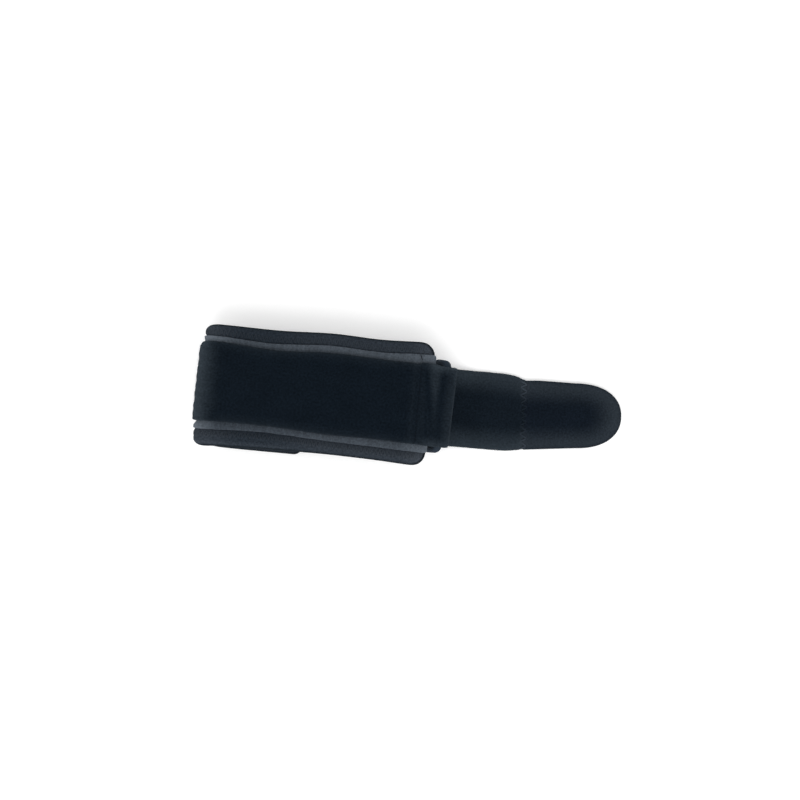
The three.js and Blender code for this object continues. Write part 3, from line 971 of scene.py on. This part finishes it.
def makeTab():
    x, y, reach = makeTabGrid()
    low, high = tabHeights(x, y, reach)
    index = np.arange(x.size).reshape(x.shape)
    border = np.concatenate([index[:-1, 0], index[-1, :-1], index[:0:-1, -1], index[0, :0:-1]])
    x, y, reach, low, high = (grid.ravel() for grid in (x, y, reach, low, high))
    ahead, behind = np.roll(border, -1), np.roll(border, 1)
    alongX, alongY = x[ahead] - x[behind], y[ahead] - y[behind]
    atSeam = x[border] < 0.1
    stand = np.where(atSeam, tab["seamBulge"], 1.0) * tab["bulge"] / np.sqrt(alongX ** 2 + alongY ** 2)
    angles = np.linspace(quarter, -quarter, tab["rimSteps"] + 2)[1:-1, None]
    rimX = x[border] + stand * alongY * np.cos(angles)
    rimY = y[border] - stand * alongX * np.cos(angles)
    rimZ = (low + high)[border] / 2 + (high - low)[border] / 2 * np.sin(angles)
    allX = np.concatenate([x, x, rimX.ravel()])
    allY = np.concatenate([y, y, rimY.ravel()])
    points = asPoints(*tabToWorld(allX, allY), np.concatenate([high, low, rimZ.ravel()]))

    top = np.stack([index[:-1, :-1], index[1:, :-1], index[1:, 1:], index[:-1, 1:]], axis=-1).reshape(-1, 4)
    faces = top.tolist() + (top[:, ::-1] + x.size).tolist()
    levels = [border, *(2 * x.size + np.arange(rimX.size).reshape(rimX.shape)), border + x.size]
    for above, below in zip(levels[:-1], levels[1:]):
        faces += np.stack([above, below, np.roll(below, -1), np.roll(above, -1)], axis=-1).tolist()

    # Painted light on the tab: lighter towards its edges and on its upper side, fixed on the rim, none
    # underneath
    nap = tab["nap"] * ramp((1 - reach) * tab["width"] / 2, tab["napOver"])
    nap = nap * (1 - tab["napSide"] + tab["napSide"] * np.sign(y - tab["napSideY"]))
    nap = nap * (1 - tab["napDrop"] * ramp(reach, tab["dropOver"]))
    nap = np.minimum(nap + seamNap(x + seamRub["shift"], y), 1)
    nap = np.concatenate([nap, 0 * nap, np.full(rimX.size, tab["rimNap"])])
    piece = newPiece("hookTab", points, faces, tabCloth, "tab_cloth", asPoints(allX, allY, 0), nap=nap)
    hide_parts("hook_tab")


makeTab()

hooks = dict(
    pitch=1.5, height=0.75, radius=0.1, sides=4, steps=7, edge=2.5, start=5.0, endGap=3.0, narrow=0.5,
    bend=0.28, bendTurn=2.6, dropTurn=2.2, dropFull=0.98, foot=0.1, scatter=(0.5, 0.2, 0.2), seed=31)


def makeHooks():
    look = hooks
    tipStart = tab["length"] - tab["tipLength"]
    feet = []
    for x in np.arange(look["start"], tab["length"] - look["endGap"], look["pitch"]):
        intoTip = max(0, (x - tipStart) / tab["tipLength"])
        half = tab["width"] / 2 - look["narrow"] * x / tipStart
        if intoTip > 0:
            half = tab["tipWidth"] / 2 * math.sqrt(1 - intoTip * intoTip)
        room = half - look["edge"]
        count = int(2 * room / look["pitch"])
        feet += [(x, -room + k * 2 * room / max(count, 1), intoTip, k % 2) for k in range(count + 1)]
    x, y, intoTip, back = (column[:, None] for column in np.array(feet).T)
    low = tabHeights(x, y, np.minimum(np.hypot(y / (tab["width"] / 2), intoTip), 1))[0]
    scatter = np.array(look["scatter"])   # of the turn, x and y
    pick = np.random.RandomState(look["seed"]).uniform(-scatter, scatter, (len(feet), 3))
    spin = pick[:, :1] + math.pi * back
    turn = np.linspace(0, 1, look["steps"])
    bend = look["bend"] * (1 - np.cos(turn * look["bendTurn"]))
    drop = look["height"] * np.sin(turn * look["dropTurn"]) / look["dropFull"]
    world = tabToWorld(x + pick[:, 1:2] + bend * np.cos(spin), y + pick[:, 2:] + bend * np.sin(spin))
    paths = asPoints(*world, np.maximum(low + look["foot"] - drop, look["foot"]))
    normals = asPoints(-np.sin(spin), np.cos(spin), 0.01)
    sewThreads("tabHooks", paths, normals, look, hookNylon, "tab_cloth")


makeHooks()

# Ring: moulded bar with rounded corners, leaning with the strap's pull
ring = dict(
    length=51.0, taper=0.08, height=20.4, depth=4.5, corner=5.3, slotCorner=2.4, bar=3.4, side=4.1,
    lean=18.0, yaw=-1.8, shift=-0.15, partingLine=0.035, square=2.2, cornerSteps=10, barSteps=24,
    sectionSteps=20)


def roundedOutline(length, height, corner):
    turn = quarter * (np.arange(4)[:, None] + np.linspace(0, 1, ring["cornerSteps"] + 1))
    x = np.array([[1], [-1], [-1], [1]]) * (length / 2 - corner) + corner * np.cos(turn)
    y = np.array([[1], [1], [-1], [-1]]) * (height / 2 - corner) + corner * np.sin(turn)
    return np.stack([x.ravel(), y.ravel()], axis=-1)


def makeRing():
    outline = roundedOutline(ring["length"], ring["height"], ring["corner"])
    slot = roundedOutline(
        ring["length"] - 2 * ring["side"], ring["height"] - 2 * ring["bar"], ring["slotCorner"])
    atBar = np.arange(1, len(outline) + 1) % (ring["cornerSteps"] + 1) == 0
    steps = np.where(atBar, ring["barSteps"], 1)
    k = np.repeat(np.arange(len(outline)), steps)
    t = np.concatenate([np.arange(n) / n for n in steps])[:, None]
    outer, inner = (ends[k] * (1 - t) + np.roll(ends, -1, axis=0)[k] * t for ends in (outline, slot))
    a = np.arange(ring["sectionSteps"]) * 2 * math.pi / ring["sectionSteps"]
    power = 2 / ring["square"]
    wide = np.sign(np.cos(a)) * np.abs(np.cos(a)) ** power
    wide = wide + ring["partingLine"] * (np.abs(np.sin(a)) < 0.05) * np.sign(np.cos(a))
    deep = np.sign(np.sin(a)) * np.abs(np.sin(a)) ** power * ring["depth"] / 2
    middle, half = (outer + inner) / 2, (outer - inner) / 2
    localY = middle[:, None, 0] + half[:, None, 0] * wide
    localZ = middle[:, None, 1] + half[:, None, 1] * wide
    localY = localY * (1 - ring["taper"] * localZ / ring["height"])
    lean = math.radians(ring["lean"])
    x = ringCentre.x + deep * math.cos(lean) + localZ * math.sin(lean)
    x = x + ring["shift"] - localY * math.sin(math.radians(ring["yaw"]))
    z = ringCentre.z - deep * math.sin(lean) + localZ * math.cos(lean)
    points = asPoints(x, ringCentre.y + localY, z)
    faces = tubeFaces(*localY.shape, joined=True)
    place = asPoints(localY, localZ, deep)
    piece = newPiece("ringLoop", points, faces, ringPlastic, "ring_plastic", place)
    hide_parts("ring")


makeRing()

# Zigzag stitches over both margins, next to the grey band
marginStitch = dict(
    pitch=2.0, inner=0.7, outer=4.0, radius=0.19, lift=0.12, plunge=0.4, endGap=4.5, uneven=0.16, seed=60,
    outerUneven=(0.35, 0.9, 0), outerSeed=62)
# Points of one leg of a zigzag: share of the way across, share of the plunge
zigzagLeg = np.array([(0, -1), (0.1, -0.4), (0.28, 0), (0.5, 0), (0.72, 0), (0.9, -0.4)])


# Count along a zigzag, which turns at whole numbers, with each turn a little uneven
def zigzagPoints(legs, look, seed):
    uneven = np.random.RandomState(seed).uniform(-look["uneven"], look["uneven"], legs + 1)
    turns = np.arange(legs + 1) + uneven
    spread = zigzagLeg[:, 0]
    back = (np.arange(legs) % 2)[:, None]
    spots = turns[:-1, None] + np.diff(turns)[:, None] * spread
    swing = back + spread * (1 - 2 * back)
    return spots.ravel(), swing.ravel(), np.tile(zigzagLeg[:, 1] * look["plunge"], legs)


# Painted light on the margin threads, the same as on the base band under them
def marginNap(points):
    x, y, z = points.T
    return bandNap(np.where(z > loop["height"] / 2, over(x), under(x)), y, "base")


def makeMarginStitches():
    look = marginStitch
    paths, normals = [], []
    start, end = baseStart + look["endGap"], baseEnd - look["endGap"]
    legs = int((end - start) / look["pitch"]) * 2
    for column, sign in ((1, 1), (2, -1)):   # upper and lower edge
        spots, swing, rise = zigzagPoints(legs, look, look["seed"] + sign)
        s = start + spots * look["pitch"] / 2
        outer = look["outer"] + softNoise((*look["outerUneven"], look["outerSeed"] + sign), s, 0)
        y = readTable(greyEdges, s, column) + sign * (outer + (look["inner"] - outer) * swing)
        h = baseFaces(s, y)[1] + look["lift"] + rise
        toEdge = np.abs(readTable(baseEdges, s, column) - y)
        paths.append(placeOnLoop(s, y, h, toEdge, loop["foldCorners"], True))
        normals.append(outward(s))
    sewThreads("marginStitches", paths, normals, look, edgeThread, "neoprene", marginNap)


makeMarginStitches()

# Row of stitches that closes the sewn end, seen across the strap and the grey band
crossStitch = dict(
    length=2.6, space=0.6, radius=0.17, lift=0.105, plunge=0.3, margin=1.2, greyShift=-0.3, greyIn=3.4,
    greyOut=0.6, greySlant=0.4, dip=np.array([-1, -0.35, 0, 0, 0, -0.35, -1]))


def makeCrossStitches():
    look = crossStitch
    high, low = edgesAt(strapEdges, seamS)
    low, high = low + look["margin"], high - look["margin"]
    greyHigh = readTable(greyEdges, seamS)
    stretches = [
        (seamS, low, high, 0, strapFaces),
        (seamS + look["greyShift"], greyHigh - look["greyIn"], greyHigh + look["greyOut"],
         look["greySlant"], greyFaces),
        (sewnStart + ringFoldX - loop["seamX"], low, high, 0, strapFaces),
    ]
    along = np.linspace(0, 1, len(look["dip"]))
    paths, normals = [], []
    for middle, low, high, slant, faces in stretches:
        count = max(1, round((high - low) / (look["length"] + look["space"])))
        step = (high - low) / count
        for k in range(count):
            y = low + k * step + along * (step - look["space"])
            s = middle - slant * (y - y.mean())
            h = faces(s, y)[1] + look["lift"] + look["plunge"] * look["dip"]
            paths.append(placeOnLoop(s, y, h, flared=faces is greyFaces))
            normals.append(outward(s))
    sewThreads("crossStitches", paths, normals, look, darkThread, "loop_pile")


makeCrossStitches()

# Zigzag seam between the strap's tail and the tab, on both faces
tabSeam = dict(
    pitch=3.9, reach=1.75, radius=0.45, lift=0.12, plunge=0.95, edge=0.7, shift=-0.6, uneven=0.24, seed=65,
    swing=(0.3, 1, 0, 66), handover=1.5, floorGap=0.05, napOver=(4, 18), lowerNap=0.72)


# Painted light on the seam's thread: lighter towards the tab's sides, less on the lower side
def tabSeamNap(points):
    y = points[:, 1]
    return ramp(np.abs(y), tabSeam["napOver"]) * np.where(y > 0, 1, tabSeam["lowerNap"])


def makeTabSeam():
    look = tabSeam
    half = tab["width"] / 2 - look["edge"]
    legs = int(2 * half / look["pitch"]) * 2
    spots, swing, rise = zigzagPoints(legs, look, look["seed"])
    y = -half + spots * 2 * half / legs
    swing = look["reach"] * (2 * swing - 1 + softNoise(look["swing"], y, 0)) + look["shift"]
    x = tailEndX + tab["gap"] / 2 + swing - tailSlope * y
    v = np.clip(np.abs(y) / (tab["width"] / 2), 0, 1)
    tabLow, tabHigh = tabHeights(x - tailEndX, y, v)
    curve, thin = strap["arch"] * (1 - v ** archPower), strap["thin"] * v ** thinPower
    strapLow, strapHigh = curve + thin, curve + thick["strap"] - thin
    onTab = smooth(swing / look["reach"] * look["handover"] + 0.5)
    upperZ = strapHigh + (tabHigh - strapHigh) * onTab + look["lift"] + rise
    lowerZ = strapLow + (tabLow - strapLow) * onTab - look["lift"] - rise
    lowerZ = np.maximum(lowerZ, look["radius"] + look["floorGap"])
    paths = [asPoints(x, y, z) for z in (upperZ, lowerZ)]
    normals = [np.tile([0.0, 0.0, sign], (len(x), 1)) for sign in (1.0, -1.0)]
    sewThreads("tabSeamStitches", paths, normals, look, seamThread, "tab_cloth", tabSeamNap)


makeTabSeam()

# Loose pile fibres that stand out along the strap's edges and over the left fold
fuzz = dict(
    edgeCount=5200, foldCount=1800, short=0.35, long=0.85, radius=0.035, seed=47, endGap=1,
    tilt=(-0.9, 1.2), inset=0.12, edgeRise=0.6, foldS=(-0.5, 1.2), foldY=(-18.5, 21.5), foldSink=0.1,
    foldLean=0.5, alongLean=0.8, floorGap=0.02, turns=(0, 2.094, 4.189), sideways=(0.3, 0.5, 0.81))


def makeFuzz():
    look = fuzz
    pick = np.random.RandomState(look["seed"])
    s = pick.uniform(under(tailEndX) + look["endGap"], strapEnd - look["endGap"], look["edgeCount"])
    sign = np.where(pick.uniform(size=len(s)) < 0.5, 1, -1)
    tilt = pick.uniform(*look["tilt"], len(s))
    y = np.where(sign > 0, *edgesAt(strapEdges, s))
    y = y - sign * strap["bulge"] * (1 - np.cos(tilt)) - sign * look["inset"]
    h = thick["strap"] / 2 + look["edgeRise"] * np.sin(tilt)
    foldS = pick.uniform(*(foldArc * share for share in look["foldS"]), look["foldCount"])
    foldY = pick.uniform(*look["foldY"], look["foldCount"])
    s = np.concatenate([s, foldS])
    y = np.concatenate([y, foldY])
    h = np.concatenate([h, np.full(len(foldS), thick["strap"] - look["foldSink"])]) + strapShift(s, y)
    outY = pick.uniform(-look["foldLean"], look["foldLean"], len(foldS))
    outY = np.concatenate([sign * np.cos(tilt), outY])
    outH = np.concatenate([np.sin(tilt), np.ones(len(foldS))])
    outS = pick.uniform(-look["alongLean"], look["alongLean"], len(s))
    foot = placeOnLoop(s, y, h, toEdges(strapEdges, s, y), strap["foldCorners"])
    outX, outZ = pathFrame(s)[2:]
    aim = unit(asPoints(outX * outH + outZ * outS, outY, outZ * outH - outX * outS))
    side = unit(np.cross(aim, look["sideways"]))
    cross = np.cross(aim, side)
    corners = [foot + look["radius"] * (math.cos(a) * side + math.sin(a) * cross) for a in look["turns"]]
    tip = foot + aim * pick.uniform(look["short"], look["long"], len(s))[:, None]
    tip[:, 2] = np.maximum(tip[:, 2], look["floorGap"])
    points = np.stack(corners + [tip], axis=1)
    first = np.arange(len(s))[:, None, None] * 4
    shape = np.array([[0, 1, 3], [1, 2, 3], [2, 0, 3], [2, 1, 0]])
    faces = (first + shape).reshape(-1, 3).tolist()
    place = np.repeat(asPoints(s, y, 0), 4, axis=0)
    # The loose fibres take the strap's painted light
    newPiece("pileFuzz", points, faces, loopPile, "loop_pile", place, nap=np.repeat(strapNap(s, y), 4))


makeFuzz()

# Floor and soft studio light
studio = dict(
    floorSize=3.0, floorDrop=0.3, floorGlow=0.19, floorDark=(0.9, 0.9, 0.9, 1), grainScale=900.0,
    floorLight=(0.93, 0.93, 0.93, 1), white=(1, 1, 1, 1), horizon=1.1, zenith=0.88, keyPower=5.5,
    keySize=0.9, keyPlace=(0.1, -0.8, 0.7))


def makeFloor():
    mesh = bpy.data.meshes.new("floor")
    half, z = studio["floorSize"] / 2, -studio["floorDrop"] * mm
    corners = [(x * half, y * half, z) for x, y in ((-1, -1), (1, -1), (1, 1), (-1, 1))]
    mesh.from_pydata(corners, [], [(0, 1, 2, 3)])
    material, tree, shader = newMaterial("paleFloor", {
        "Roughness": 0.9, "Specular IOR Level": 0.0,
        "Emission Color": studio["white"], "Emission Strength": studio["floorGlow"]})
    tone = noise(tree, addNode(tree, "ShaderNodeTexCoord").outputs["Object"], studio["grainScale"])
    colour = mixColours(tree, tone, studio["floorDark"], studio["floorLight"])
    feed(tree, shader.inputs["Base Color"], colour)
    mesh.materials.append(material)
    floor = addToScene("floor", mesh)


def makeLight():
    scene = bpy.context.scene
    scene.world = bpy.data.worlds.new("studioWorld")
    scene.world.use_nodes = True
    tree = scene.world.node_tree
    parts = splitPlace(tree, addNode(tree, "ShaderNodeTexCoord").outputs["Generated"])
    level = remap(tree, parts["Z"], 0.0, 1.0, studio["horizon"], studio["zenith"])
    feedAll(tree, tree.nodes["Background"], dict(Strength=level, Color=studio["white"]))
    data = bpy.data.lights.new("keyLight", "AREA")
    data.energy = studio["keyPower"]
    data.size = studio["keySize"]
    light = addToScene("keyLight", data)
    light.location = studio["keyPlace"]
    light.rotation_euler = (-light.location).to_track_quat("-Z", "Y").to_euler()
    scene.view_settings.view_transform = "Standard"


makeFloor()
makeLight()
print("floor and light made")
